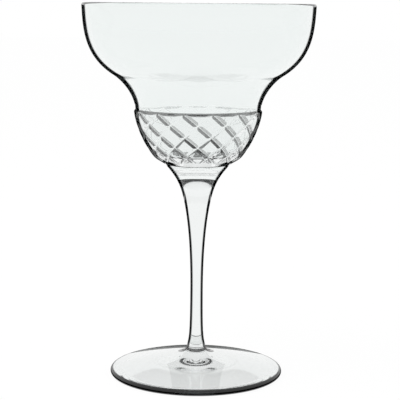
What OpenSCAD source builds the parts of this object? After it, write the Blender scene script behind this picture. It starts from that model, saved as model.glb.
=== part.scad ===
// Margarita glass: a blown bowl with a stepped cup, a drawn stem and a pressed foot, fused at two welds.
// The cup carries a band of crossed cut grooves that leave a lattice of diamonds.
// Millimetres. The origin is the middle of the table plane under the foot, +Z points up to the rim.

/* [Bowl] */
// Outside diameter at the rim
rim_dia = 108; // [98:0.5:118]
// Height of the wide bowl, from the neck up to the rim
bowl_height = 48.5; // [42:0.5:56]
// Outside diameter where the wall turns from bulging to hollow
turn_dia = 78; // [72:0.5:84]
// Height of that turn above the neck
turn_height = 15.2; // [12.5:0.1:18]
// Slope of the wall at the turn, in degrees from level
turn_angle = 31.5; // [26:0.5:38]
// Lean of the wall just under the rim, in degrees from upright
rim_lean = 3; // [0:0.5:6]
// Thickness of the bowl's wall
bowl_wall = 1.8; // [1.2:0.1:2.4]

/* [Cup] */
// Outside diameter of the neck between the bowl and the cup
neck_dia = 58.3; // [54:0.5:64]
// Slope of the wall just above the neck, in degrees from level
neck_angle = 82; // [76:1:90]
// Height of the cup, from the stem's weld up to the neck
cup_height = 26; // [23:0.5:30]
// How far the band's shoulder stands proud of the neck
shoulder_step = 0.75; // [0.4:0.05:1.2]
// Height of the rounded shoulder below the neck
shoulder_drop = 1.6; // [1:0.1:2.4]
// Outside diameter at the band's lower edge
band_base_dia = 42; // [38:0.5:45]
// Height of the band's lower edge above the stem's weld
band_base_height = 4.1; // [3.2:0.1:5.2]
// Bulge of the band between its two edges
band_bulge = 1.35; // [0.8:0.05:2]
// Thickness of the cup's wall
cup_wall = 2; // [1.6:0.1:2.6]
// Thickness of the cup's floor above the stem's weld
cup_floor = 4; // [3:0.1:5.5]

/* [Lattice] */
// Grooves of each hand round the band
groove_count = 14; // [10:1:18]
// Whole diamonds from the top of the band to its bottom
diamond_rows = 2; // [1:1:3]
// Radius of the groove's round section
groove_radius = 1.35; // [0.9:0.05:1.8]
// Depth of a groove
groove_depth = 0.5; // [0.2:0.05:0.7]

/* [Stem] */
// Length of the stem between its two welds
stem_length = 86.7; // [70:0.5:105]
// Diameter of the flared top, where the cup is welded on
flare_dia = 30.4; // [27:0.2:33]
// Diameter of the throat below the flare
throat_dia = 13.3; // [11.5:0.1:15]
// Height of the flare, from the throat up to the weld
flare_height = 15.7; // [13:0.1:19]
// Diameter at the stem's thinnest place
stem_dia = 5.9; // [5:0.1:7.5]
// Height of the thinnest place above the foot's weld
thin_height = 27; // [20:0.5:36]
// Diameter at the foot's weld
stem_base_dia = 8.4; // [7.6:0.1:10]

/* [Foot] */
// Diameter of the foot
foot_dia = 81.6; // [74:0.2:90]
// Height of the foot, from the table up to the stem's weld
foot_height = 13.8; // [12:0.1:16]
// Thickness of the foot's rounded edge
foot_edge = 2.9; // [2:0.1:3.8]
// Diameter where the cone of the foot starts to sweep up to the stem
sweep_dia = 32; // [26:0.5:38]
// Height of the cone above the table at that place
sweep_height = 7.9; // [6.8:0.1:9]
// Width of the flat ring that rests on the table
rest_width = 4; // [2.5:0.1:6]
// Height of the hollow under the middle of the foot
hollow_height = 4.6; // [3:0.1:5.6]

/* [Hidden] */

$fn = 96;
glass_colour = [0.88, 0.93, 0.92];

// Steps along a long curve, along the neck's curve, along a short curve and round the half-round of an edge
long_steps = 14;
neck_steps = 8;
short_steps = 4;
edge_steps = 8;

// Heights of the welds, the neck and the rim
foot_weld_z = foot_height;
bowl_weld_z = foot_weld_z + stem_length;
neck_z = bowl_weld_z + cup_height;
rim_z = neck_z + bowl_height;

// Pulls of the curves, as shares of the straight way between their ends
rim_pull_share = 0.31;
turn_pull_share = 0.46;
turn_down_share = 0.1;
neck_pull_share = 0.48;
underside_weld_share = 0.6;
underside_band_share = 0.3;
flare_weld_share = 0.26;
flare_throat_share = 0.49;
throat_pull_share = 0.17;
thin_up_share = 0.54;
thin_down_share = 0.9;
base_pull_share = 0.13;
sweep_weld_share = 0.34;
sweep_cone_share = 0.5;
floor_wall_share = 0.42;
floor_middle_share = 0.6;
hollow_ring_share = 0.3;
hollow_middle_share = 0.5;

// Slopes of the outline where curves meet, in degrees from level
underside_angle = 33;
flare_angle = 51;
throat_angle = 77;
base_angle = 100;
hollow_angle = 14;

// Where the inside of the cup leaves the band's curve, as shares of the way down the band
inside_top_share = 0.12;
inside_low_share = 0.78;

// Three places of a groove, as shares of the way down the band, and its run-out at each end
groove_shares = [0.25, 0.45, 0.75];
groove_run_out_share = 0.13;

function unit(v) = v / norm(v);
function heading(angle) = [cos(angle), sin(angle)];
function left_of(v) = [-v.y, v.x];
function mix(a, b, share) = a + (b - a) * share;

// Control points of a curve from a to b, with its headings there and the pulls along them
function curve(a, from, pull_a, b, to, pull_b) =
    let (way = norm(b - a))
    [a, a + heading(from) * pull_a * way, b - heading(to) * pull_b * way, b];

function curve_at(c, t) =
    let (u = 1 - t)
    c[0] * u * u * u + 3 * c[1] * u * u * t + 3 * c[2] * u * t * t + c[3] * t * t * t;

function curve_heading(c, t) =
    let (u = 1 - t)
    unit((c[1] - c[0]) * u * u + 2 * (c[2] - c[1]) * u * t + (c[3] - c[2]) * t * t);

// Points of a curve, set off to its left by a distance that runs from one value to another
function curve_points(c, steps, off_a = 0, off_b = 0) =
    [for (i = [0 : steps])
        let (t = i / steps)
        curve_at(c, t) + left_of(curve_heading(c, t)) * mix(off_a, off_b, t)];

function arc_points(centre, radius, from, to, steps) =
    [for (i = [0 : steps]) centre + radius * heading(mix(from, to, i / steps))];

function reversed(list) = [for (i = [len(list) - 1 : -1 : 0]) list[i]];

// Outer curves of the bowl, run from the stem's weld up to the rim
weld_point = [flare_dia / 2, bowl_weld_z];
band_base = [band_base_dia / 2, bowl_weld_z + band_base_height];
shoulder = [neck_dia / 2 + shoulder_step, neck_z - shoulder_drop];
neck = [neck_dia / 2, neck_z];
turn = [turn_dia / 2, neck_z + turn_height];
lip = [rim_dia / 2, rim_z - bowl_wall / 2];

// The band's outline is an arc over the chord from its lower edge to its shoulder
band_chord = norm(shoulder - band_base);
band_radius = (band_chord * band_chord / 4 + band_bulge * band_bulge) / (2 * band_bulge);
band_middle = (band_base + shoulder) / 2;
band_centre = band_middle + left_of(unit(shoulder - band_base)) * (band_radius - band_bulge);
band_low = atan2(band_base.y - band_centre.y, band_base.x - band_centre.x);
band_high = atan2(shoulder.y - band_centre.y, shoulder.x - band_centre.x);

underside_curve = curve(weld_point, underside_angle, underside_weld_share,
                        band_base, band_low + 90, underside_band_share);
hollow_curve = curve(neck, neck_angle, neck_pull_share, turn, turn_angle, turn_down_share);
bulge_curve = curve(turn, turn_angle, turn_pull_share, lip, 90 - rim_lean, rim_pull_share);

// Place on the band at a share of the way down from its shoulder, set off outwards
function band_place(share, off) =
    band_centre + (band_radius + off) * heading(mix(band_high, band_low, share));

// Inner curve of the cup, from the wall to the middle of the floor
inside_low = band_place(inside_low_share, -cup_wall);
inside_low_heading = mix(band_high, band_low, inside_low_share) - 90;
floor_middle = [0, bowl_weld_z + cup_floor];
floor_curve = curve(inside_low, inside_low_heading, floor_wall_share,
                    floor_middle, 180, floor_middle_share);

// Outer curves of the stem, run down from the cup's weld to the foot's weld
throat = [throat_dia / 2, bowl_weld_z - flare_height];
thin = [stem_dia / 2, foot_weld_z + thin_height];
stem_base = [stem_base_dia / 2, foot_weld_z];
flare_curve = curve(weld_point, flare_angle + 180, flare_weld_share,
                    throat, throat_angle + 180, flare_throat_share);
shaft_curve = curve(throat, throat_angle + 180, throat_pull_share,
                    thin, -90, thin_up_share);
base_curve = curve(thin, -90, thin_down_share,
                   stem_base, base_angle + 180, base_pull_share);

// Outer curves of the foot, run from the stem's weld out to the edge and back under to the middle
edge_radius = foot_edge / 2;
edge_centre = [foot_dia / 2 - edge_radius, edge_radius];
sweep = [sweep_dia / 2, sweep_height];
cone_way = edge_centre - sweep;
cone_turn = asin(edge_radius / norm(cone_way));
cone_angle = atan2(cone_way.y, cone_way.x) + cone_turn;
sweep_curve = curve(stem_base, base_angle + 180, sweep_weld_share,
                    sweep, cone_angle, sweep_cone_share);
ring_inner = [edge_centre.x - rest_width, 0];
hollow_top = [0, hollow_height];
hollow_under = curve(ring_inner, 180 - hollow_angle, hollow_ring_share,
                     hollow_top, 180, hollow_middle_share);

bowl_outline = concat(
    [[0, bowl_weld_z]],
    curve_points(underside_curve, short_steps),
    arc_points(band_centre, band_radius, band_low, band_high, short_steps),
    curve_points(hollow_curve, neck_steps),
    curve_points(bulge_curve, long_steps),
    arc_points(lip - [bowl_wall / 2, 0], bowl_wall / 2, 0, 180, edge_steps),
    reversed(curve_points(bulge_curve, long_steps, bowl_wall, bowl_wall)),
    reversed(curve_points(hollow_curve, neck_steps, cup_wall, bowl_wall)),
    arc_points(band_centre, band_radius - cup_wall, mix(band_high, band_low, inside_top_share),
               mix(band_high, band_low, inside_low_share), short_steps),
    curve_points(floor_curve, long_steps)
);

stem_outline = concat(
    [[0, bowl_weld_z]],
    curve_points(flare_curve, long_steps),
    curve_points(shaft_curve, long_steps),
    curve_points(base_curve, long_steps),
    [[0, foot_weld_z]]
);

foot_outline = concat(
    [[0, foot_weld_z]],
    curve_points(sweep_curve, long_steps),
    arc_points(edge_centre, edge_radius, cone_angle + 90, -90, edge_steps),
    curve_points(hollow_under, long_steps)
);

// Place of a groove's centre line on the band, for a hand of 1 or -1
groove_sweep = diamond_rows * 360 / groove_count;
function groove_place(share, hand) =
    let (place = band_place(share, groove_radius - groove_depth),
         turned = hand * groove_sweep * (share - groove_shares[1]))
    [place.x * cos(turned), place.x * sin(turned), place.y];

// One groove cutter: a round bar bent on the circle through three places of the groove's line
module groove_cutter(hand) {
    a = groove_place(groove_shares[0], hand);
    b = groove_place(groove_shares[1], hand);
    c = groove_place(groove_shares[2], hand);
    square_to = cross(b - a, c - a);
    centre = a + (cross(square_to, b - a) * ((c - a) * (c - a))
                  + cross(c - a, square_to) * ((b - a) * (b - a))) / (2 * square_to * square_to);
    axis = unit(square_to);
    first = unit(a - centre);
    second = cross(axis, first);
    bend_angle = atan2((c - centre) * second, (c - centre) * first);
    angle_per_share = bend_angle / (groove_shares[2] - groove_shares[0]);
    start_angle = -angle_per_share * (groove_shares[0] + groove_run_out_share);
    whole_angle = angle_per_share * (1 + 2 * groove_run_out_share);
    multmatrix([[first.x, second.x, axis.x, centre.x],
                [first.y, second.y, axis.y, centre.y],
                [first.z, second.z, axis.z, centre.z]])
        rotate([0, 0, start_angle])
            rotate_extrude(angle = whole_angle)
                translate([norm(a - centre), 0])
                    circle(r = groove_radius);
}

// Bowl and cup, one blown piece, with the grooves cut round the band
module bowl() {
    color(glass_colour)
        difference() {
            rotate_extrude() polygon(bowl_outline);
            for (i = [0 : groove_count - 1], hand = [-1, 1])
                rotate([0, 0, i * 360 / groove_count])
                    groove_cutter(hand);
        }
}

// Solid stem, flared at the top to meet the cup and thickened at the bottom to meet the foot
module stem() {
    color(glass_colour)
        rotate_extrude() polygon(stem_outline);
}

// Conical foot with a rounded edge, hollow underneath so that it rests on a ring
module foot() {
    color(glass_colour)
        rotate_extrude() polygon(foot_outline);
}

bowl();
stem();
foot();
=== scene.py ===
"""Margarita glass: a blown bowl with a cut cup, a drawn stem and a pressed foot, dressed over the frame."""

import logging
import math
from dataclasses import dataclass
from enum import Enum
from typing import Iterable, List, Optional, Sequence, Tuple, Union

import bpy
from mathutils import Matrix, Vector


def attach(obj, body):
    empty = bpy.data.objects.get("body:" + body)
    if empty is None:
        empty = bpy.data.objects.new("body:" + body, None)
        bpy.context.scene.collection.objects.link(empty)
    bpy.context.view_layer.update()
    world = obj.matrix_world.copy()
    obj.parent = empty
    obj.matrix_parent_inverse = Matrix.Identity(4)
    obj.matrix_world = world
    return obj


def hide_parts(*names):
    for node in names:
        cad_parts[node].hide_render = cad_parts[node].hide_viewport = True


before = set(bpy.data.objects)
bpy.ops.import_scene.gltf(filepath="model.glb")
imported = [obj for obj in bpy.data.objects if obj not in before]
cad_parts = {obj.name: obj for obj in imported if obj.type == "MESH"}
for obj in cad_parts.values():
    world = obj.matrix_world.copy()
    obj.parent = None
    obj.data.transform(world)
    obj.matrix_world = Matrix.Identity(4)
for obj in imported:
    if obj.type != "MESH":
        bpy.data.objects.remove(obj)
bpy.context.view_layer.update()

MM = 0.001
UPRIGHT = 90.0
BODY = "root"
MERGE_REACH = 0.002 * MM

Point = Tuple[float, float]
Place = Tuple[float, float, float]
Colour = Tuple[float, float, float, float]
Tree = bpy.types.NodeTree
Socket = bpy.types.NodeSocket
Term = Union[float, Place, Colour, Socket]

log = logging.getLogger("margarita_glass")


class SeenBy(Enum):
    """How the glass sees a card: mirrored on its surface or through its body."""

    MIRROR = (True, False)
    BODY = (False, True)


class Hand(Enum):
    """The way a groove leans as it goes down the cup."""

    LEFT = -1
    RIGHT = 1


def heading(angle: float) -> Vector:
    """Gives the unit vector of a slope in degrees from level."""
    return Vector((math.cos(math.radians(angle)), math.sin(math.radians(angle))))


def left_of(way: Vector) -> Vector:
    """Gives the vector square to a way, on its left."""
    return Vector((-way.y, way.x))


def mix(first: float, second: float, share: float) -> float:
    """Gives the value a share of the way from the first to the second."""
    return first + (second - first) * share


@dataclass(frozen=True)
class Sweep:
    """A smooth run of an outline from one place to another, with its slope and pull at both ends."""

    start: Point
    start_slope: float
    start_pull: float
    end: Point
    end_slope: float
    end_pull: float

    def handles(self) -> List[Vector]:
        """Gives the four points that steer the run.

        Returns:
            The start, its handle, the end's handle and the end, as radius and height.
        """
        first, last = Vector(self.start), Vector(self.end)
        way = (last - first).length
        return [
            first,
            first + heading(self.start_slope) * self.start_pull * way,
            last - heading(self.end_slope) * self.end_pull * way,
            last,
        ]

    def run(self, steps: int, wall_start: float = 0.0, wall_end: float = 0.0) -> List[Point]:
        """Gives points along the run, set off to its left.

        Args:
            steps: How many stretches the run is split into.
            wall_start: The distance to the left at the start.
            wall_end: The distance to the left at the end.

        Returns:
            The points, from start to end.
        """
        a, b, c, d = self.handles()
        points = []
        for step in range(steps + 1):
            t = step / steps
            u = 1.0 - t
            place = a * u**3 + 3 * b * u * u * t + 3 * c * u * t * t + d * t**3
            way = ((b - a) * u * u + 2 * (c - b) * u * t + (d - c) * t * t).normalized()
            place += left_of(way) * mix(wall_start, wall_end, t)
            points.append((place.x, place.y))
        return points


@dataclass(frozen=True)
class Arc:
    """A round run of an outline."""

    centre: Point
    radius: float
    start_angle: float
    end_angle: float

    def run(self, steps: int) -> List[Point]:
        """Gives points along the arc.

        Args:
            steps: How many stretches the arc is split into.

        Returns:
            The points, from the start angle to the end angle.
        """
        centre = Vector(self.centre)
        angles = [mix(self.start_angle, self.end_angle, step / steps) for step in range(steps + 1)]
        places = [centre + heading(angle) * self.radius for angle in angles]
        return [(place.x, place.y) for place in places]


def without_repeats(points: Iterable[Point], least: float = 0.01 * MM) -> List[Point]:
    """Drops each point that lies on the one before it.

    Args:
        points: The outline's points in order.
        least: The least distance between two points that are kept.

    Returns:
        The kept points.
    """
    kept: List[Point] = []
    for point in points:
        if not kept or (Vector(point) - Vector(kept[-1])).length > least:
            kept.append(point)
    return kept


def turn_on_lathe(name: str, outline: Sequence[Point], steps: int) -> bpy.types.Object:
    """Draws an outline vertex by vertex and spins it round the upright axis into a closed solid.

    Args:
        name: The new piece's name.
        outline: Radius and height of each point, from axis to axis.
        steps: How many steps the spin takes.

    Returns:
        The new piece, at the origin.
    """
    bpy.ops.object.select_all(action="DESELECT")
    bpy.ops.mesh.primitive_plane_add(size=MM, location=(0.0, 0.0, 0.0))
    piece = bpy.context.active_object
    piece.name = name
    piece.data.name = name
    bpy.ops.object.mode_set(mode="EDIT")
    bpy.ops.mesh.select_all(action="SELECT")
    bpy.ops.mesh.merge(type="CENTER")
    first = outline[0]
    bpy.ops.transform.translate(value=(first[0], 0.0, first[1]))
    for before, after in zip(outline, outline[1:]):
        step = (after[0] - before[0], 0.0, after[1] - before[1])
        bpy.ops.mesh.extrude_region_move(TRANSFORM_OT_translate={"value": step})
    bpy.ops.mesh.select_all(action="SELECT")
    bpy.ops.mesh.spin(
        steps=steps,
        angle=math.tau,
        use_auto_merge=True,
        center=(0.0, 0.0, 0.0),
        axis=(0.0, 0.0, 1.0),
    )
    bpy.ops.mesh.select_all(action="SELECT")
    bpy.ops.mesh.remove_doubles(threshold=MERGE_REACH)
    bpy.ops.mesh.normals_make_consistent(inside=False)
    bpy.ops.object.mode_set(mode="OBJECT")
    return piece


def feed(tree: Tree, inputs: Iterable[Socket], terms: Iterable[Term]) -> None:
    """Links or sets the inputs of a node.

    Args:
        tree: The material's nodes.
        inputs: The inputs, in order.
        terms: A socket or a constant for each input.
    """
    for socket, term in zip(inputs, terms):
        if isinstance(term, bpy.types.NodeSocket):
            tree.links.new(term, socket)
        else:
            socket.default_value = term


def number_step(tree: Tree, operation: str, *terms: Term) -> Socket:
    """Adds one step of arithmetic on numbers.

    Args:
        tree: The material's nodes.
        operation: The step, in the math node's words.
        terms: The numbers, or the sockets of them.

    Returns:
        The socket of the result.
    """
    step = tree.nodes.new("ShaderNodeMath")
    step.operation = operation
    feed(tree, step.inputs, terms)
    return step.outputs["Value"]


def vector_step(tree: Tree, operation: str, *terms: Term) -> Socket:
    """Adds one step of arithmetic on vectors.

    Args:
        tree: The material's nodes.
        operation: The step, in the vector math node's words.
        terms: The vectors, or the sockets of them.

    Returns:
        The socket of the result, a number for a length or a dot product.
    """
    step = tree.nodes.new("ShaderNodeVectorMath")
    step.operation = operation
    feed(tree, step.inputs, terms)
    return step.outputs["Value" if operation in ("LENGTH", "DOT_PRODUCT") else "Vector"]


def split_height(tree: Tree, vector: Socket) -> Socket:
    """Gives the upright part of a vector.

    Args:
        tree: The material's nodes.
        vector: The socket of the vector.

    Returns:
        The socket of its Z.
    """
    split = tree.nodes.new("ShaderNodeSeparateXYZ")
    tree.links.new(vector, split.inputs["Vector"])
    return split.outputs["Z"]


def ramp(
    tree: Tree,
    value: Socket,
    start: float,
    end: float,
    low: float = 0.0,
    high: float = 1.0,
    smooth: bool = False,
) -> Socket:
    """Maps a value onto another range and holds it at both ends.

    Args:
        tree: The material's nodes.
        value: The socket of the value.
        start: The value that gives the low end.
        end: The value that gives the high end.
        low: The low end.
        high: The high end.
        smooth: Whether the ramp eases in and out.

    Returns:
        The socket of the result.
    """
    step = tree.nodes.new("ShaderNodeMapRange")
    step.interpolation_type = "SMOOTHSTEP" if smooth else "LINEAR"
    for name, bound in (("From Min", start), ("From Max", end), ("To Min", low), ("To Max", high)):
        step.inputs[name].default_value = bound
    tree.links.new(value, step.inputs["Value"])
    return step.outputs["Result"]


def blend(tree: Tree, kind: str, first: Term, second: Term, share: Socket) -> Socket:
    """Mixes two colours or two vectors.

    Args:
        tree: The material's nodes.
        kind: What is mixed, in the mix node's words.
        first: What share 0 gives, or its socket.
        second: What share 1 gives, or its socket.
        share: The socket of the share.

    Returns:
        The socket of the result.
    """
    step = tree.nodes.new("ShaderNodeMix")
    step.data_type = kind
    feed(tree, [step.inputs[name] for name in ("Factor", "A", "B")], (share, first, second))
    return step.outputs["Result"]


def bare_material(name: str) -> bpy.types.Material:
    """Makes a node material that has no shader yet.

    Args:
        name: The material's name.

    Returns:
        The material.
    """
    material = bpy.data.materials.new(name)
    material.use_nodes = True
    material.node_tree.nodes.remove(material.node_tree.nodes["Principled BSDF"])
    return material


@dataclass(frozen=True)
class GlassFinish:
    """Clear fire-polished soda-lime glass with a trace of green, and painted shade near its silhouette and
    on its cuts.

    The base colour is painted near black within an edge width of the silhouette, as painted shade, with one
    width below the edge height and another above it. A piece with a rim radius gets painted shade outside
    it. A piece with a cup centre has a band of cuts from the cup's low end up to the edge height; the band
    gets a little painted shade, and the cuts of one hand get more painted shade there, one wall more than
    the other.
    """

    name: str
    low_edge: float
    high_edge: float
    edge_height: float
    edge_blur: float = 2.0 * MM
    full_share: float = 0.7
    least_rise: float = 0.1
    tint: Colour = (0.928, 0.948, 0.943, 1.0)
    deep_tint: Colour = (0.92, 0.942, 0.936, 1.0)
    # painted shade: the near-black colour painted on the glass near its silhouette, on its cuts and round a
    # rim
    painted_shade_colour: Colour = (0.0003, 0.0004, 0.0004, 1.0)
    cup_centre: Optional[Point] = None
    cup_low: float = 0.0
    # painted shade on the cuts of one hand, one wall darker than the other, and a little over the whole cut
    # band
    right_wall_shade: float = 0.92
    left_wall_shade: float = 0.7
    cut_lean: Tuple[float, float] = (0.05, 0.22)
    band_shade: float = 0.1
    # painted shade on the glass outside this radius; the default lies beyond the glass
    rim_radius: float = 1.0
    rim_blur: float = 0.5 * MM
    bending: float = 1.5
    polish: Tuple[float, float] = (0.0, 0.006)
    cord_size: float = 22.0 * MM

    def material(self) -> bpy.types.Material:
        """Makes the glass as a node material on Object coordinates.

        Returns:
            The material.
        """
        material = bpy.data.materials.new(self.name)
        material.use_nodes = True
        tree = material.node_tree
        shader = tree.nodes["Principled BSDF"]
        shader.inputs["Transmission Weight"].default_value = 1.0
        shader.inputs["IOR"].default_value = self.bending
        shader.inputs["Metallic"].default_value = 0.0
        place = tree.nodes.new("ShaderNodeTexCoord").outputs["Object"]
        cords = tree.nodes.new("ShaderNodeTexNoise")
        cords.inputs["Scale"].default_value = 1.0 / self.cord_size
        cords.inputs["Detail"].default_value = 1.0
        tree.links.new(place, cords.inputs["Vector"])
        tint = blend(tree, "RGBA", self.tint, self.deep_tint, cords.outputs["Fac"])
        # the base colour is painted towards near black by the painted shade
        edged = blend(tree, "RGBA", tint, self.painted_shade_colour, self.painted_shade(tree, place))
        tree.links.new(edged, shader.inputs["Base Color"])
        polish = ramp(tree, cords.outputs["Fac"], 0.0, 1.0, *self.polish)
        tree.links.new(polish, shader.inputs["Roughness"])
        return material

    def painted_shade(self, tree: Tree, place: Socket) -> Socket:
        """Works out the painted shade of the glass, from its silhouette, its rim and its cuts.

        Args:
            tree: The material's nodes.
            place: The socket of the Object coordinates.

        Returns:
            The socket of the painted shade, from 0 to 1.
        """
        height = split_height(tree, place)
        level = vector_step(tree, "MULTIPLY", place, (1.0, 1.0, 0.0))
        radius = vector_step(tree, "LENGTH", level)
        surface = tree.nodes.new("ShaderNodeNewGeometry")
        normal, inside = surface.outputs["Normal"], surface.outputs["Backfacing"]
        outward = vector_step(tree, "DOT_PRODUCT", normal, level)
        outward = number_step(tree, "MULTIPLY", outward, number_step(tree, "SUBTRACT", 0.5, inside))
        outer = number_step(tree, "GREATER_THAN", outward, 0.0)
        wall: Socket = normal
        grey: Term = 0.0
        if self.cup_centre:
            off_cup = self.off_cup(tree, height)
            wall = self.uncut_normal(tree, place, radius, off_cup, normal)
            front = number_step(tree, "SUBTRACT", outer, inside)
            # painted shade on the cuts of one hand, on the outer surface only
            cuts = self.cut_painted_shade(tree, level, off_cup, wall, normal)
            grey = number_step(tree, "MULTIPLY", cuts, front)
        # painted shade near the silhouette, on the outer surface only
        edge = number_step(tree, "MULTIPLY", self.edge_painted_shade(tree, wall, radius, height), outer)
        dark = number_step(tree, "MAXIMUM", edge, grey)
        # painted shade round the rim, outside the rim radius
        rim = ramp(tree, radius, self.rim_radius, self.rim_radius + self.rim_blur, smooth=True)
        return number_step(tree, "MAXIMUM", dark, rim)

    def edge_painted_shade(self, tree: Tree, wall: Socket, radius: Socket, height: Socket) -> Socket:
        """Works out the painted shade of the glass from how far inside its silhouette a place is seen.

        Args:
            tree: The material's nodes.
            wall: The socket of the wall's normal.
            radius: The socket of the distance from the axis.
            height: The socket of the height.

        Returns:
            The socket of the darkness, from 0 to 1.
        """
        facing = tree.nodes.new("ShaderNodeLayerWeight")
        if self.cup_centre:
            tree.links.new(wall, facing.inputs["Normal"])
        rise = split_height(tree, wall)
        steep = number_step(tree, "SUBTRACT", 1.0, number_step(tree, "MULTIPLY", rise, rise))
        slant = number_step(tree, "SUBTRACT", 1.0, facing.outputs["Facing"])
        square = number_step(tree, "DIVIDE", number_step(tree, "MULTIPLY", slant, slant), steep)
        square = number_step(tree, "MINIMUM", square, 1.0)
        aside = number_step(tree, "SQRT", number_step(tree, "SUBTRACT", 1.0, square))
        inward = number_step(tree, "MULTIPLY", number_step(tree, "SUBTRACT", 1.0, aside), radius)
        steepness = number_step(tree, "MAXIMUM", number_step(tree, "SQRT", steep), self.least_rise)
        inward = number_step(tree, "MULTIPLY", inward, steepness)
        below, above = self.edge_height - self.edge_blur, self.edge_height + self.edge_blur
        width = ramp(tree, height, below, above, self.low_edge, self.high_edge)
        return ramp(tree, number_step(tree, "DIVIDE", inward, width), 1.0, self.full_share, smooth=True)

    def cut_painted_shade(
        self, tree: Tree, level: Socket, off_cup: Socket, wall: Socket, normal: Socket
    ) -> Socket:
        """Works out the painted shade on the cuts of one hand, from how far their walls lean out of the
        cup's wall.

        Args:
            tree: The material's nodes.
            level: The socket of the level way from the axis.
            off_cup: The socket that is 1 off the band of cuts and 0 on it.
            wall: The socket of the uncut wall's normal.
            normal: The socket of the surface's own normal.

        Returns:
            The socket of the painted shade, from the band's own painted shade to a wall's.
        """
        around = vector_step(tree, "NORMALIZE", vector_step(tree, "CROSS_PRODUCT", (0.0, 0.0, 1.0), level))
        upward = vector_step(tree, "CROSS_PRODUCT", wall, around)
        lean = vector_step(tree, "DOT_PRODUCT", normal, vector_step(tree, "ADD", around, upward))
        cut = ramp(tree, number_step(tree, "ABSOLUTE", lean), *self.cut_lean, smooth=True)
        rightward = number_step(tree, "GREATER_THAN", lean, 0.0)
        # one wall of each cut gets more painted shade than the other
        share = ramp(tree, rightward, 0.0, 1.0, self.left_wall_shade, self.right_wall_shade)
        # a little painted shade over the whole band
        band = number_step(tree, "MULTIPLY", number_step(tree, "SUBTRACT", 1.0, off_cup), self.band_shade)
        return number_step(tree, "MAXIMUM", number_step(tree, "MULTIPLY", cut, share), band)

    def off_cup(self, tree: Tree, height: Socket) -> Socket:
        """Tells the cup's cut band from the glass above and below it.

        Args:
            tree: The material's nodes.
            height: The socket of the height.

        Returns:
            The socket that is 1 off the band and 0 on it.
        """
        middle, reach = (self.edge_height + self.cup_low) / 2, (self.edge_height - self.cup_low) / 2
        away = number_step(tree, "ABSOLUTE", number_step(tree, "SUBTRACT", height, middle))
        return number_step(tree, "GREATER_THAN", away, reach)

    def uncut_normal(
        self, tree: Tree, place: Socket, radius: Socket, off_cup: Socket, normal: Socket
    ) -> Socket:
        """Works out the normal of the cup's wall before it was cut, so that the cuts don't break its
        painted-shade edge.

        Args:
            tree: The material's nodes.
            place: The socket of the Object coordinates.
            radius: The socket of the distance from the axis.
            off_cup: The socket that is 1 off the band of cuts and 0 on it.
            normal: The socket of the surface's own normal, which holds above and below the cup.

        Returns:
            The socket of the normal.
        """
        centre_radius, centre_height = self.cup_centre
        spread = number_step(tree, "SUBTRACT", 1.0, number_step(tree, "DIVIDE", centre_radius, radius))
        scale = tree.nodes.new("ShaderNodeCombineXYZ")
        feed(tree, scale.inputs, (spread, spread, 1.0))
        outward = vector_step(tree, "SUBTRACT", place, (0.0, 0.0, centre_height))
        outward = vector_step(tree, "MULTIPLY", outward, scale.outputs["Vector"])
        return blend(tree, "VECTOR", vector_step(tree, "NORMALIZE", outward), normal, off_cup)


@dataclass(frozen=True)
class WeldFinish:
    """The inside of a hot weld, where two pieces of glass are one and nothing shows."""

    name: str = "fused_weld"

    def material(self) -> bpy.types.Material:
        """Makes the clear weld.

        Returns:
            The material.
        """
        material = bare_material(self.name)
        tree = material.node_tree
        clear = tree.nodes.new("ShaderNodeBsdfTransparent")
        tree.links.new(clear.outputs["BSDF"], tree.nodes["Material Output"].inputs["Surface"])
        return material


@dataclass
class GlassPiece:
    """One piece of the glass: its outline, its spin and its finishes."""

    weld: bpy.types.Material
    node: str = ""
    spin_steps: int = 192
    weld_heights: Tuple[float, ...] = ()
    weld_flatness: float = 0.999
    weld_slack: float = 0.01 * MM
    crease_angle: float = 50.0

    def outline(self) -> List[Point]:
        """Gives the closed outline from axis to axis."""
        raise NotImplementedError

    def finish(self) -> GlassFinish:
        """Gives the piece's glass."""
        raise NotImplementedError

    def shape(self, piece: bpy.types.Object) -> None:
        """Works on the turned piece before it is dressed."""

    def build(self) -> bpy.types.Object:
        """Turns the piece, shapes it, dresses it and puts it in the frame.

        Returns:
            The finished piece.
        """
        piece = turn_on_lathe(self.node + "_glass", without_repeats(self.outline()), self.spin_steps)
        self.shape(piece)
        self.dress(piece)
        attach(piece, BODY)
        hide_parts(self.node)
        log.info("%s: %d faces", piece.name, len(piece.data.polygons))
        return piece

    def dress(self, piece: bpy.types.Object) -> None:
        """Gives the piece its glass, and its flat weld faces the clear weld.

        Args:
            piece: The turned piece.
        """
        piece.data.materials.append(self.finish().material())
        piece.data.materials.append(self.weld)
        for face in piece.data.polygons:
            flat = abs(face.normal.z) > self.weld_flatness
            on_weld = any(abs(face.center.z - height) < self.weld_slack for height in self.weld_heights)
            face.material_index = 1 if flat and on_weld else 0
        bpy.ops.object.select_all(action="DESELECT")
        piece.select_set(True)
        bpy.context.view_layer.objects.active = piece
        bpy.ops.object.shade_smooth_by_angle(angle=math.radians(self.crease_angle))


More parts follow.
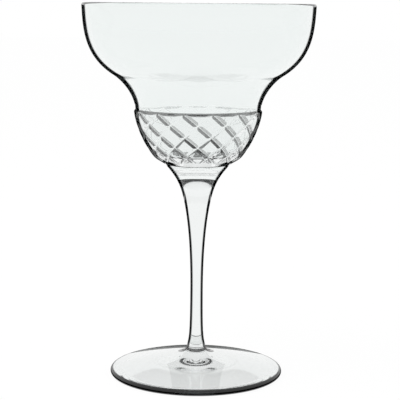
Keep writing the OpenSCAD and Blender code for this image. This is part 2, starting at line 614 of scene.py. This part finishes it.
@dataclass
class Bowl(GlassPiece):
    """The wide bowl and the cup under it, with the diamond lattice cut round the cup."""

    node: str = "bowl"
    spin_steps: int = 408
    weld_z: float = 100.5 * MM
    rim_z: float = 175.0 * MM
    rim_radius: float = 54.0 * MM
    wall: float = 1.8 * MM
    rim_lean: float = 3.0
    lip_pull: float = 0.31
    turn_radius: float = 39.0 * MM
    turn_height: float = 15.2 * MM
    turn_angle: float = 31.5
    turn_low_pull: float = 0.1
    turn_high_pull: float = 0.46
    neck_radius: float = 29.15 * MM
    neck_angle: float = 82.0
    neck_pull: float = 0.48
    cup_height: float = 26.0 * MM
    shoulder_step: float = 0.75 * MM
    shoulder_drop: float = 1.6 * MM
    shoulder_pull: float = 0.4
    band_base_radius: float = 21.0 * MM
    band_base_height: float = 4.1 * MM
    band_base_pull: float = 0.3
    band_bulge: float = 1.35 * MM
    weld_radius: float = 15.2 * MM
    weld_angle: float = 33.0
    weld_pull: float = 0.6
    cup_wall: float = 2.0 * MM
    cup_floor: float = 4.0 * MM
    inner_high_share: float = 0.12
    inner_low_share: float = 0.78
    inner_low_pull: float = 0.42
    floor_pull: float = 0.6
    groove_count: int = 14
    diamond_rows: int = 2
    groove_width: float = 3.0 * MM
    groove_depth: float = 0.5 * MM
    groove_middle_share: float = 0.45
    underside_rows: int = 14
    band_rows: int = 60
    shoulder_rows: int = 6
    hollow_rows: int = 14
    bulge_rows: int = 22
    lip_rows: int = 10
    inner_hollow_rows: int = 10
    inner_band_rows: int = 8
    floor_rows: int = 14
    # the width of the painted shade along the bowl's silhouette
    edge_width: float = 2.1 * MM

    def __post_init__(self) -> None:
        """Works out the places and the band's arc from the sizes."""
        self.weld_heights = (self.weld_z,)
        self.neck_z = self.weld_z + self.cup_height
        self.band_base = Vector((self.band_base_radius, self.weld_z + self.band_base_height))
        self.shoulder = Vector((self.neck_radius + self.shoulder_step, self.neck_z - self.shoulder_drop))
        chord = (self.shoulder - self.band_base).length
        self.band_radius = (chord * chord / 4 + self.band_bulge**2) / (2 * self.band_bulge)
        middle = (self.band_base + self.shoulder) / 2
        inward = left_of((self.shoulder - self.band_base).normalized())
        self.band_centre = middle + inward * (self.band_radius - self.band_bulge)
        self.band_low = self.band_angle(self.band_base)
        self.band_high = self.band_angle(self.shoulder)

    def band_angle(self, place: Vector) -> float:
        """Gives a place's angle about the centre of the band's arc, in degrees."""
        way = place - self.band_centre
        return math.degrees(math.atan2(way.y, way.x))

    def finish(self) -> GlassFinish:
        """Gives the bowl's glass, with painted shade along its silhouette and on the cuts of one hand from
        the foot of the band up to the neck.

        Returns:
            The finish.
        """
        return GlassFinish(
            "bowl_glass",
            low_edge=self.edge_width,
            high_edge=self.edge_width,
            edge_height=self.neck_z,
            cup_centre=tuple(self.band_centre),
            cup_low=self.band_base.y,
        )

    def curves(self) -> Tuple[Sweep, Sweep]:
        """Gives the hollow curve above the neck and the bulging curve up to the lip."""
        neck = (self.neck_radius, self.neck_z)
        turn = (self.turn_radius, self.neck_z + self.turn_height)
        lip = (self.rim_radius, self.rim_z - self.wall / 2)
        lip_angle = UPRIGHT - self.rim_lean
        hollow = Sweep(neck, self.neck_angle, self.neck_pull, turn, self.turn_angle, self.turn_low_pull)
        bulge = Sweep(turn, self.turn_angle, self.turn_high_pull, lip, lip_angle, self.lip_pull)
        return hollow, bulge

    def outer(self) -> List[Point]:
        """Gives the outside of the cup and bowl, from the weld up to the lip.

        Returns:
            The points, from the bottom up.
        """
        hollow, bulge = self.curves()
        weld, base, shoulder = (self.weld_radius, self.weld_z), tuple(self.band_base), tuple(self.shoulder)
        low_angle, high_angle = self.band_low + UPRIGHT, self.band_high + UPRIGHT
        underside = Sweep(weld, self.weld_angle, self.weld_pull, base, low_angle, self.band_base_pull)
        band = Arc(tuple(self.band_centre), self.band_radius, self.band_low, self.band_high)
        step = Sweep(
            shoulder, high_angle, self.shoulder_pull, hollow.start, self.neck_angle, self.shoulder_pull
        )
        return [
            *underside.run(self.underside_rows),
            *band.run(self.band_rows),
            *step.run(self.shoulder_rows),
            *hollow.run(self.hollow_rows),
            *bulge.run(self.bulge_rows),
        ]

    def outline(self) -> List[Point]:
        """Gives the bowl's outline, up the outside from the weld and down the inside to the cup's floor.

        Returns:
            The outline from axis to axis.
        """
        hollow, bulge = self.curves()
        lip_centre = (bulge.end[0] - self.wall / 2, bulge.end[1])
        inner_high = mix(self.band_high, self.band_low, self.inner_high_share)
        inner_low = mix(self.band_high, self.band_low, self.inner_low_share)
        inner_band = Arc(tuple(self.band_centre), self.band_radius - self.cup_wall, inner_high, inner_low)
        inner_foot = inner_band.run(1)[-1]
        floor_middle = (0.0, self.weld_z + self.cup_floor)
        floor = Sweep(
            inner_foot, inner_low - UPRIGHT, self.inner_low_pull, floor_middle, 2 * UPRIGHT, self.floor_pull
        )
        return [
            (0.0, self.weld_z),
            *self.outer(),
            *Arc(lip_centre, self.wall / 2, 0.0, 2 * UPRIGHT).run(self.lip_rows),
            *reversed(bulge.run(self.bulge_rows, self.wall, self.wall)),
            *reversed(hollow.run(self.inner_hollow_rows, self.cup_wall, self.wall)),
            *inner_band.run(self.inner_band_rows),
            *floor.run(self.floor_rows),
        ]

    def groove_cut(self, place: Vector) -> float:
        """Gives how deep the grooves cut at a place, as a share of the full depth.

        Args:
            place: A vertex of the outer wall.

        Returns:
            The share, from 0 outside the grooves to 1 on a groove's centre line.
        """
        radius = math.hypot(place.x, place.y)
        on_outline = Vector((radius, place.z))
        sunk = self.band_radius - (on_outline - self.band_centre).length
        share = (self.band_high - self.band_angle(on_outline)) / (self.band_high - self.band_low)
        band_length = math.radians(self.band_high - self.band_low) * self.band_radius
        cell = math.tau / self.groove_count
        sweep = self.diamond_rows * cell
        squareness = 1.0 / math.hypot(1.0, radius * sweep / band_length)
        cut = 0.0
        for hand in Hand:
            lead = hand.value * sweep * (share - self.groove_middle_share)
            off = (math.atan2(place.y, place.x) - lead + cell / 2) % cell - cell / 2
            aside = abs(off) * radius * squareness
            slack = min(1.0, 2.0 * aside / self.groove_width)
            cut = max(cut, self.groove_depth * (1.0 + math.cos(math.pi * slack)) / 2 - sunk)
        return max(0.0, min(1.0, cut / self.groove_depth))

    def on_band(self, place: Vector) -> bool:
        """Tells whether a place lies on the outside of the cup, where the grooves run."""
        radius = math.hypot(place.x, place.y)
        outer = (Vector((radius, place.z)) - self.band_centre).length > self.band_radius - self.cup_wall / 2
        return outer and self.weld_z < place.z < self.neck_z and radius > self.weld_radius

    def shape(self, piece: bpy.types.Object) -> None:
        """Cuts the grooves: pokes the band, paints the depth on a vertex group and sinks the wall by it.

        Args:
            piece: The turned bowl.
        """
        bpy.ops.object.mode_set(mode="EDIT")
        bpy.ops.mesh.select_all(action="DESELECT")
        bpy.ops.mesh.select_mode(type="FACE")
        bpy.ops.object.mode_set(mode="OBJECT")
        for face in piece.data.polygons:
            face.select = self.on_band(face.center) and self.band_base.y < face.center.z < self.shoulder.y
        bpy.ops.object.mode_set(mode="EDIT")
        bpy.ops.mesh.poke()
        bpy.ops.mesh.select_mode(type="VERT")
        bpy.ops.object.mode_set(mode="OBJECT")
        cut = piece.vertex_groups.new(name="groove_cut")
        for vertex in piece.data.vertices:
            if self.on_band(vertex.co):
                depth = self.groove_cut(vertex.co)
                if depth > 0.0:
                    cut.add([vertex.index], depth, "REPLACE")
        bpy.context.view_layer.objects.active = piece
        sink = piece.modifiers.new("groove_cut", "DISPLACE")
        sink.vertex_group = cut.name
        sink.direction = "NORMAL"
        sink.mid_level = 0.0
        sink.strength = -self.groove_depth
        bpy.ops.object.modifier_apply(modifier=sink.name)


@dataclass
class Stem(GlassPiece):
    """The drawn stem, flared to the cup and thickened to the foot."""

    node: str = "stem"
    top_z: float = 100.5 * MM
    base_z: float = 13.8 * MM
    top_radius: float = 15.2 * MM
    top_angle: float = 51.0
    top_pull: float = 0.26
    throat_radius: float = 6.65 * MM
    throat_angle: float = 77.0
    throat_low_pull: float = 0.17
    throat_high_pull: float = 0.49
    flare_height: float = 15.7 * MM
    thin_radius: float = 2.95 * MM
    thin_height: float = 27.0 * MM
    thin_low_pull: float = 0.9
    thin_high_pull: float = 0.54
    base_radius: float = 4.2 * MM
    base_angle: float = 100.0
    base_pull: float = 0.13
    base_rows: int = 20
    shaft_rows: int = 24
    flare_rows: int = 20

    def __post_init__(self) -> None:
        """Notes the two welds."""
        self.weld_heights = (self.top_z, self.base_z)

    def finish(self) -> GlassFinish:
        """Gives the stem's glass, with painted shade along its silhouette, a little wider on the flare.

        Returns:
            The finish.
        """
        return GlassFinish(
            "stem_glass",
            # widths of the painted shade along the stem's silhouette
            low_edge=1.3 * MM,
            high_edge=1.4 * MM,
            edge_height=85.0 * MM,
            tint=(0.885, 0.905, 0.9, 1.0),
            deep_tint=(0.88, 0.9, 0.895, 1.0),
        )

    def outer(self) -> List[Point]:
        """Gives the outside of the stem, from the foot's weld up to the cup's weld.

        Returns:
            The points, from the bottom up.
        """
        top = (self.top_radius, self.top_z)
        throat = (self.throat_radius, self.top_z - self.flare_height)
        thin = (self.thin_radius, self.base_z + self.thin_height)
        base = (self.base_radius, self.base_z)
        ankle = Sweep(base, self.base_angle, self.base_pull, thin, UPRIGHT, self.thin_low_pull)
        shaft = Sweep(thin, UPRIGHT, self.thin_high_pull, throat, self.throat_angle, self.throat_low_pull)
        flare = Sweep(throat, self.throat_angle, self.throat_high_pull, top, self.top_angle, self.top_pull)
        return [*ankle.run(self.base_rows), *shaft.run(self.shaft_rows), *flare.run(self.flare_rows)]

    def outline(self) -> List[Point]:
        """Gives the stem's outline, up from the foot's weld to the cup's weld.

        Returns:
            The outline from axis to axis.
        """
        return [(0.0, self.base_z), *self.outer(), (0.0, self.top_z)]


@dataclass
class Foot(GlassPiece):
    """The conical foot with a rounded edge and a hollow underside."""

    node: str = "foot"
    spin_steps: int = 256
    height: float = 13.8 * MM
    top_radius: float = 4.2 * MM
    top_angle: float = 280.0
    top_pull: float = 0.34
    radius: float = 40.8 * MM
    edge: float = 2.9 * MM
    sweep_radius: float = 16.0 * MM
    sweep_height: float = 7.9 * MM
    sweep_pull: float = 0.5
    rest_width: float = 4.0 * MM
    hollow_height: float = 4.6 * MM
    hollow_angle: float = 166.0
    hollow_low_pull: float = 0.3
    hollow_high_pull: float = 0.5
    sweep_rows: int = 24
    edge_rows: int = 16
    hollow_rows: int = 24

    def __post_init__(self) -> None:
        """Notes the stem's weld."""
        self.weld_heights = (self.height,)

    def finish(self) -> GlassFinish:
        """Gives the foot's glass, with painted shade round its rim and along its silhouette near the stem.

        Returns:
            The finish.
        """
        return GlassFinish(
            "foot_glass",
            low_edge=0.01 * MM,
            high_edge=1.3 * MM,
            edge_height=9.5 * MM,
            edge_blur=1.5 * MM,
            # painted shade round the foot's rim, outside this radius
            rim_radius=39.3 * MM,
            tint=(0.845, 0.865, 0.86, 1.0),
            deep_tint=(0.835, 0.855, 0.85, 1.0),
        )

    def outline(self) -> List[Point]:
        """Gives the foot's outline, out from the stem's weld, round the edge and back under to the middle.

        Returns:
            The outline from axis to axis.
        """
        edge_radius = self.edge / 2
        edge_centre = Vector((self.radius - edge_radius, edge_radius))
        sweep = Vector((self.sweep_radius, self.sweep_height))
        cone = edge_centre - sweep
        cone_angle = math.degrees(math.atan2(cone.y, cone.x) + math.asin(edge_radius / cone.length))
        top, ring = (self.top_radius, self.height), (edge_centre.x - self.rest_width, 0.0)
        middle = (0.0, self.hollow_height)
        upper = Sweep(top, self.top_angle, self.top_pull, tuple(sweep), cone_angle, self.sweep_pull)
        edge = Arc(tuple(edge_centre), edge_radius, cone_angle + UPRIGHT, -UPRIGHT)
        hollow = Sweep(
            ring, self.hollow_angle, self.hollow_low_pull, middle, 2 * UPRIGHT, self.hollow_high_pull
        )
        return [
            (0.0, self.height),
            *upper.run(self.sweep_rows),
            *edge.run(self.edge_rows),
            *hollow.run(self.hollow_rows),
        ]


@dataclass(frozen=True)
class CardFinish:
    """Cloth of an even shade that only glass sees."""

    name: str = "black_card"
    shade: float = 0.004

    def material(self) -> bpy.types.Material:
        """Makes the cloth.

        Returns:
            The material.
        """
        material = bare_material(self.name)
        tree = material.node_tree
        glow = tree.nodes.new("ShaderNodeEmission")
        glow.inputs["Color"].default_value = (self.shade, self.shade, self.shade, 1.0)
        tree.links.new(glow.outputs["Emission"], tree.nodes["Material Output"].inputs["Surface"])
        return material


@dataclass(frozen=True)
class FloorFinish:
    """A white table that is seen as the backdrop's white and keeps a share of the shadow."""

    name: str = "white_table"
    matt: float = 0.9
    shadow_share: float = 0.06

    def material(self) -> bpy.types.Material:
        """Makes the table's white.

        Returns:
            The material.
        """
        material = bare_material(self.name)
        tree = material.node_tree
        path = tree.nodes.new("ShaderNodeLightPath").outputs
        seen = number_step(tree, "MAXIMUM", path["Is Camera Ray"], path["Is Glossy Ray"])
        seen = number_step(tree, "MAXIMUM", seen, path["Is Transmission Ray"])
        share = number_step(tree, "MULTIPLY", seen, 1.0 - self.shadow_share)
        cloth = tree.nodes.new("ShaderNodeBsdfDiffuse")
        cloth.inputs["Color"].default_value = (self.matt, self.matt, self.matt, 1.0)
        glow = tree.nodes.new("ShaderNodeEmission")
        mixed = tree.nodes.new("ShaderNodeMixShader")
        feed(tree, mixed.inputs, (share, cloth.outputs["BSDF"], glow.outputs["Emission"]))
        tree.links.new(mixed.outputs["Shader"], tree.nodes["Material Output"].inputs["Surface"])
        return material


@dataclass
class Studio:
    """A white tent with dark cards round the glass, which turn to face the camera."""

    black: bpy.types.Material
    white: bpy.types.Material
    table: bpy.types.Material
    camera_distance: float = 610.0 * MM
    camera_height: float = 175.0 * MM
    camera_aside: float = 1.25 * MM
    camera_pitch: float = 8.545
    camera_roll: float = 0.52
    lens: float = 118.0
    sensor: float = 36.0
    nearest: float = 0.01
    farthest: float = 50.0
    lamp_place: Place = (-0.5, -0.3, 1.3)
    lamp_aim: Place = (0.0, 0.0, 0.05)
    lamp_size: float = 0.9
    lamp_power: float = 6.0
    floor_size: float = 12.0
    floor_drop: float = 0.05 * MM
    ring_steps: int = 96
    card_step: float = 2.0 * MM
    shaft_top: float = 86.0 * MM
    flare_base: float = 84.0 * MM

    def world(self) -> None:
        """Makes the plain white tent all round."""
        world = bpy.data.worlds.new("white_tent")
        world.use_nodes = True
        tent = world.node_tree.nodes["Background"]
        tent.inputs["Color"].default_value = (1.0, 1.0, 1.0, 1.0)
        tent.inputs["Strength"].default_value = 1.0
        bpy.context.scene.world = world

    def floor(self) -> None:
        """Lays the white table."""
        bpy.ops.object.select_all(action="DESELECT")
        bpy.ops.mesh.primitive_plane_add(size=self.floor_size, location=(0.0, 0.0, -self.floor_drop))
        floor = bpy.context.active_object
        floor.name = "floor"
        floor.data.materials.append(self.table)

    def hang(
        self, name: str, rows: Sequence[Tuple[Vector, Vector]], seen: SeenBy, cloth: bpy.types.Material
    ) -> None:
        """Hangs one card, a strip of cloth from row to row, that turns with the camera.

        Args:
            name: The card's name.
            rows: The two ends of each row.
            seen: How the glass sees it.
            cloth: Its cloth.
        """
        bpy.ops.object.select_all(action="DESELECT")
        bpy.ops.mesh.primitive_grid_add(x_subdivisions=1, y_subdivisions=len(rows) - 1, size=1.0)
        card = bpy.context.active_object
        card.name = name
        for row, ends in enumerate(rows):
            for column, place in enumerate(ends):
                card.data.vertices[2 * row + column].co = place
        card.data.materials.append(cloth)
        card.visible_camera = False
        card.visible_diffuse = False
        card.visible_shadow = False
        card.visible_glossy, card.visible_transmission = seen.value
        facing = card.constraints.new("LOCKED_TRACK")
        facing.target = bpy.context.scene.camera
        facing.track_axis = "TRACK_NEGATIVE_Y"
        facing.lock_axis = "LOCK_Z"

    def edge_cards(
        self,
        name: str,
        outer: Sequence[Point],
        seen: SeenBy,
        behind: float,
        gap: float,
        width: float,
        least: float = 0.0,
    ) -> None:
        """Hangs a black card on each side that follows a silhouette, for the dark edges of clear glass.

        Args:
            name: The cards' name.
            outer: The silhouette, from the bottom up.
            seen: How the glass sees them.
            behind: How far behind the axis the cards hang.
            gap: How far from the silhouette a card starts, square to it.
            width: How wide a card is, square to the silhouette.
            least: The least distance of a card from the axis.
        """
        way = (self.camera_distance + behind) / self.camera_distance
        eye = Vector((0.0, self.camera_height))
        places = [eye + (Vector(place) - eye) * way for place in without_repeats(outer, self.card_step)]
        for side in (-1.0, 1.0):
            rows = []
            for before, place, after in zip([places[0], *places], places, [*places[1:], places[-1]]):
                outward = -left_of((after - before).normalized())
                ends = (place + outward * gap, place + outward * (gap + width))
                rows.append(tuple(Vector((side * max(end.x, least), behind, end.y)) for end in ends))
            self.hang(name, rows, seen, self.black)

    def level_ring(
        self, name: str, cloth: bpy.types.Material, inner: float, outer: float, height: float
    ) -> None:
        """Lays a level ring round the axis that only mirroring surfaces see.

        Args:
            name: The ring's name.
            cloth: Its cloth.
            inner: Its inner radius.
            outer: Its outer radius.
            height: Its height.
        """
        rise = Vector((0.0, 0.0, height))
        ways = [heading(step * 4 * UPRIGHT / self.ring_steps).to_3d() for step in range(self.ring_steps + 1)]
        self.hang(name, [(way * inner + rise, way * outer + rise) for way in ways], SeenBy.MIRROR, cloth)

    def dress_glass(self, bowl: Bowl, stem: Stem) -> None:
        """Hangs all the cards round the glass.

        Args:
            bowl: The bowl, for its silhouette.
            stem: The stem, for its silhouette.
        """
        wide = [place for place in bowl.outer() if place[1] > bowl.neck_z]
        cup = [place for place in bowl.outer() if place[1] < bowl.neck_z]
        shaft = [place for place in stem.outer() if place[1] < self.shaft_top]
        flare = [place for place in stem.outer() if place[1] > self.flare_base]
        mirror, body = SeenBy.MIRROR, SeenBy.BODY
        self.edge_cards("bowl_card", wide, mirror, behind=5.0 * MM, gap=0.4 * MM, width=10.0 * MM)
        self.edge_cards("cup_card", cup, mirror, behind=5.0 * MM, gap=0.4 * MM, width=12.0 * MM)
        self.edge_cards(
            "flare_card", flare, body, behind=25.0 * MM, gap=2.0 * MM, width=45.0 * MM, least=15.0 * MM
        )
        self.edge_cards("flare_card", flare, mirror, behind=3.0 * MM, gap=0.4 * MM, width=12.0 * MM)
        self.edge_cards("stem_card", shaft, body, behind=10.0 * MM, gap=0.0, width=45.0 * MM, least=4.5 * MM)
        self.edge_cards("stem_card", shaft, mirror, behind=1.0 * MM, gap=0.3 * MM, width=12.0 * MM)
        on_table = -self.floor_drop / 2
        self.level_ring("foot_ring", self.black, inner=41.0 * MM, outer=85.0 * MM, height=on_table)
        self.level_ring("bowl_ring", self.white, inner=12.0 * MM, outer=120.0 * MM, height=50.0 * MM)

    def soft_light(self) -> None:
        """Hangs one large soft lamp over the table, for the floor's shadow."""
        data = bpy.data.lights.new("soft_lamp", "AREA")
        data.energy = self.lamp_power
        data.shape = "RECTANGLE"
        data.size = self.lamp_size
        data.size_y = self.lamp_size
        lamp = bpy.data.objects.new("soft_lamp", data)
        lamp.location = self.lamp_place
        aim = Vector(self.lamp_aim) - Vector(self.lamp_place)
        lamp.rotation_euler = aim.to_track_quat("-Z", "Y").to_euler()
        lamp.visible_camera = False
        lamp.visible_glossy = False
        lamp.visible_transmission = False
        bpy.context.scene.collection.objects.link(lamp)

    def camera(self) -> None:
        """Sets up the camera at the photograph's place."""
        data = bpy.data.cameras.new("camera")
        data.lens = self.lens
        data.sensor_width = self.sensor
        data.sensor_fit = "HORIZONTAL"
        data.clip_start = self.nearest
        data.clip_end = self.farthest
        camera = bpy.data.objects.new("camera", data)
        camera.location = (self.camera_aside, -self.camera_distance, self.camera_height)
        tilt = Matrix.Rotation(math.radians(UPRIGHT - self.camera_pitch), 4, "X")
        roll = Matrix.Rotation(math.radians(self.camera_roll), 4, "Z")
        camera.rotation_euler = (tilt @ roll).to_euler()
        bpy.context.scene.collection.objects.link(camera)
        bpy.context.scene.camera = camera


def let_light_through(bounces: int = 32) -> None:
    """Lets light pass through all the walls of the glass.

    Args:
        bounces: How many surfaces a ray may meet.
    """
    light_paths = bpy.context.scene.cycles
    light_paths.max_bounces = bounces
    light_paths.transmission_bounces = bounces
    light_paths.glossy_bounces = bounces
    light_paths.transparent_max_bounces = bounces


def main() -> None:
    """Builds the glass and its studio, and notes the sizes."""
    logging.basicConfig(level=logging.INFO, format="%(name)s: %(message)s")
    weld = WeldFinish().material()
    bowl, stem, foot = Bowl(weld), Stem(weld), Foot(weld)
    for piece in (bowl, stem, foot):
        piece.build()
    black, white = CardFinish().material(), CardFinish("white_card", 1.0).material()
    studio = Studio(black, white, FloorFinish().material())
    studio.camera()
    studio.world()
    studio.floor()
    studio.dress_glass(bowl, stem)
    studio.soft_light()
    let_light_through()
    bpy.context.scene.view_settings.view_transform = "Standard"


if __name__ == "__main__":
    main()
